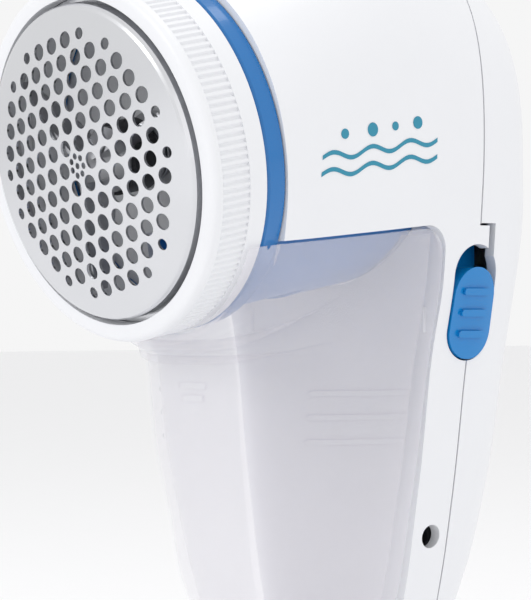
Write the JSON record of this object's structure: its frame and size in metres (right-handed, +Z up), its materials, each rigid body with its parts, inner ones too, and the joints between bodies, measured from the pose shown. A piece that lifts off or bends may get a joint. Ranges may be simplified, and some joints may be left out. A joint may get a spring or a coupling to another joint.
{
  "type": "fabric shaver",
  "caption": "Handheld rechargeable fabric shaver: round perforated foil head in a ribbed guard ring, blue collar, white hood and handle, clear lint bin and side slide switch.",
  "frame": {"origin": "the crown of the shaving foil, where the head meets the cloth", "axes": "+Z up along the handle, +X towards the switch side, -Y the way the head faces; the head's axis leans 10.84 degrees down from -Y"},
  "size_m": [0.0592, 0.0835, 0.1419],
  "materials": {
    "white_housing": "satin moulded",
    "blue_collar": "gloss",
    "blue_hull": "gloss",
    "clear_bin": "frosted clear",
    "foil_steel": "etched and polished",
    "blade_steel": "ground",
    "dark_plastic": "moulded",
    "grey_plastic": "moulded",
    "spring_steel": "drawn wire",
    "motor_steel": "plated",
    "magnet": "sintered",
    "copper": "bare",
    "seal_felt": "felt",
    "battery_sleeve": "shrink sleeve",
    "board": "lacquered",
    "wire_red": "insulation",
    "wire_black": "insulation",
    "wire_yellow": "insulation",
    "screw_steel": "zinc plated",
    "switch_blue": "gloss"
  },
  "bodies": {
    "housing": {"front_shell": "white_housing", "rear_shell": "white_housing", "bin_catches": "white_housing", "chamber_hull": "blue_hull", "lint_chute": "blue_hull", "bulkhead": "white_housing", "collar_ring": "blue_collar", "shaft_seal": "seal_felt", "motor_can": "motor_steel", "motor_magnets": "magnet", "motor_brushes": "dark_plastic", "motor_end_cap": "dark_plastic", "motor_terminals": "copper", "motor_screws": "screw_steel", "case_screws": "screw_steel", "slide_switch": "dark_plastic", "battery_cell": "battery_sleeve", "battery_contacts": "screw_steel", "battery_cradle": "white_housing", "charging_socket": "dark_plastic", "circuit_board": "board", "board_components": "dark_plastic", "wire_red": "wire_red", "wire_black": "wire_black", "wire_yellow": "wire_yellow"},
    "foil_unit": {"shaving_foil": "foil_steel", "foil_retainer": "white_housing"},
    "guard": {"guard_ring": "white_housing"},
    "rotor": {"motor_shaft": "blade_steel", "drive_coupler": "grey_plastic", "armature": "motor_steel", "armature_windings": "copper", "commutator": "copper", "blade_spring": "spring_steel"},
    "cutter": {"cutter_blades": "blade_steel", "blade_carrier": "dark_plastic"},
    "switch": {"switch_slider": "switch_blue", "switch_lever": "dark_plastic"},
    "bin": {"lint_bin": "clear_bin"}
  },
  "joints": [
    {"name": "cutter_spin", "type": "hinge", "parent": "housing", "child": "rotor", "pos_m": [0, 0.02947, 0.00564], "axis": [0, -0.9822, -0.1881], "continuous": true},
    {"name": "blade_float", "type": "slide", "parent": "rotor", "child": "cutter", "axis": [0, 0.9822, 0.1881], "range_m": [0, 0.001], "stiffness_N_per_m": 400, "springref_m": -0.001, "deforming": ["blade_spring"]},
    {"name": "foil_pull", "type": "slide", "parent": "housing", "child": "foil_unit", "axis": [0, -0.9822, -0.1881], "range_m": [0, 0.02]},
    {"name": "ring_twist", "type": "hinge", "parent": "foil_unit", "child": "guard", "pos_m": [0, 0.00884, 0.00169], "axis": [0, -0.9822, -0.1881], "range_deg": [0, 30]},
    {"name": "switch_slide", "type": "slide", "parent": "housing", "child": "switch", "axis": [0, 0, 1], "range_m": [0, 0.0034]},
    {"name": "bin_slide", "type": "slide", "parent": "housing", "child": "bin", "axis": [0, 0, -1], "range_m": [0, 0.06]}
  ]
}
